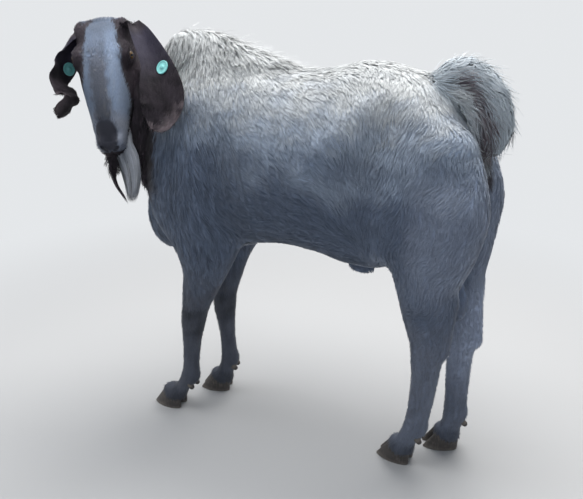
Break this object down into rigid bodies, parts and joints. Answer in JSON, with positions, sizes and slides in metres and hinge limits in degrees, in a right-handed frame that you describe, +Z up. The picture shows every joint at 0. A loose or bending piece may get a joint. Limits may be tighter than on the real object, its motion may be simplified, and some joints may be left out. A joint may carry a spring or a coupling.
{
  "type": "goat",
  "caption": "Billy goat of the Boer kind standing square on cloven hooves, head turned back to its left, lop ears with round tags, beard, bushy tail arched up",
  "frame": {"origin": "middle of the footprint's box, on the floor that the hooves stand on", "axes": "+Z up; the goat faces -X; its left side is -Y, and its head is turned back towards -Y"},
  "size_m": [0.8876, 0.3547, 0.9204],
  "materials": {
    "coat_white": "off-white hair, matt, longer and shaggy on the neck and tail, short on the legs",
    "coat_dark": "short dark chocolate hair, soft sheen",
    "hoof_horn": "dark ringed horn, worn matt at the ground",
    "eye": "amber iris with a level bar pupil, wet and glossy",
    "tag_plastic": "teal moulded plastic, unmarked"
  },
  "bodies": {
    "root": {"trunk": "coat_white", "neck": "coat_white", "head": "coat_dark", "tail": "coat_white", "beard": "coat_white", "scrotum": "coat_white", "sheath": "coat_white", "ear_left": "coat_dark", "ear_right": "coat_dark", "tag_left": "tag_plastic", "tag_right": "tag_plastic", "eye_left": "eye", "eye_right": "eye", "leg_front_left": "coat_white", "leg_front_right": "coat_white", "leg_hind_left": "coat_white", "leg_hind_right": "coat_white", "hoof_front_left_outer": "hoof_horn", "hoof_front_left_inner": "hoof_horn", "hoof_front_right_outer": "hoof_horn", "hoof_front_right_inner": "hoof_horn", "hoof_hind_left_outer": "hoof_horn", "hoof_hind_left_inner": "hoof_horn", "hoof_hind_right_outer": "hoof_horn", "hoof_hind_right_inner": "hoof_horn", "dewclaw_front_left_outer": "hoof_horn", "dewclaw_front_left_inner": "hoof_horn", "dewclaw_front_right_outer": "hoof_horn", "dewclaw_front_right_inner": "hoof_horn", "dewclaw_hind_left_outer": "hoof_horn", "dewclaw_hind_left_inner": "hoof_horn", "dewclaw_hind_right_outer": "hoof_horn", "dewclaw_hind_right_inner": "hoof_horn"}
  },
  "joints": []
}
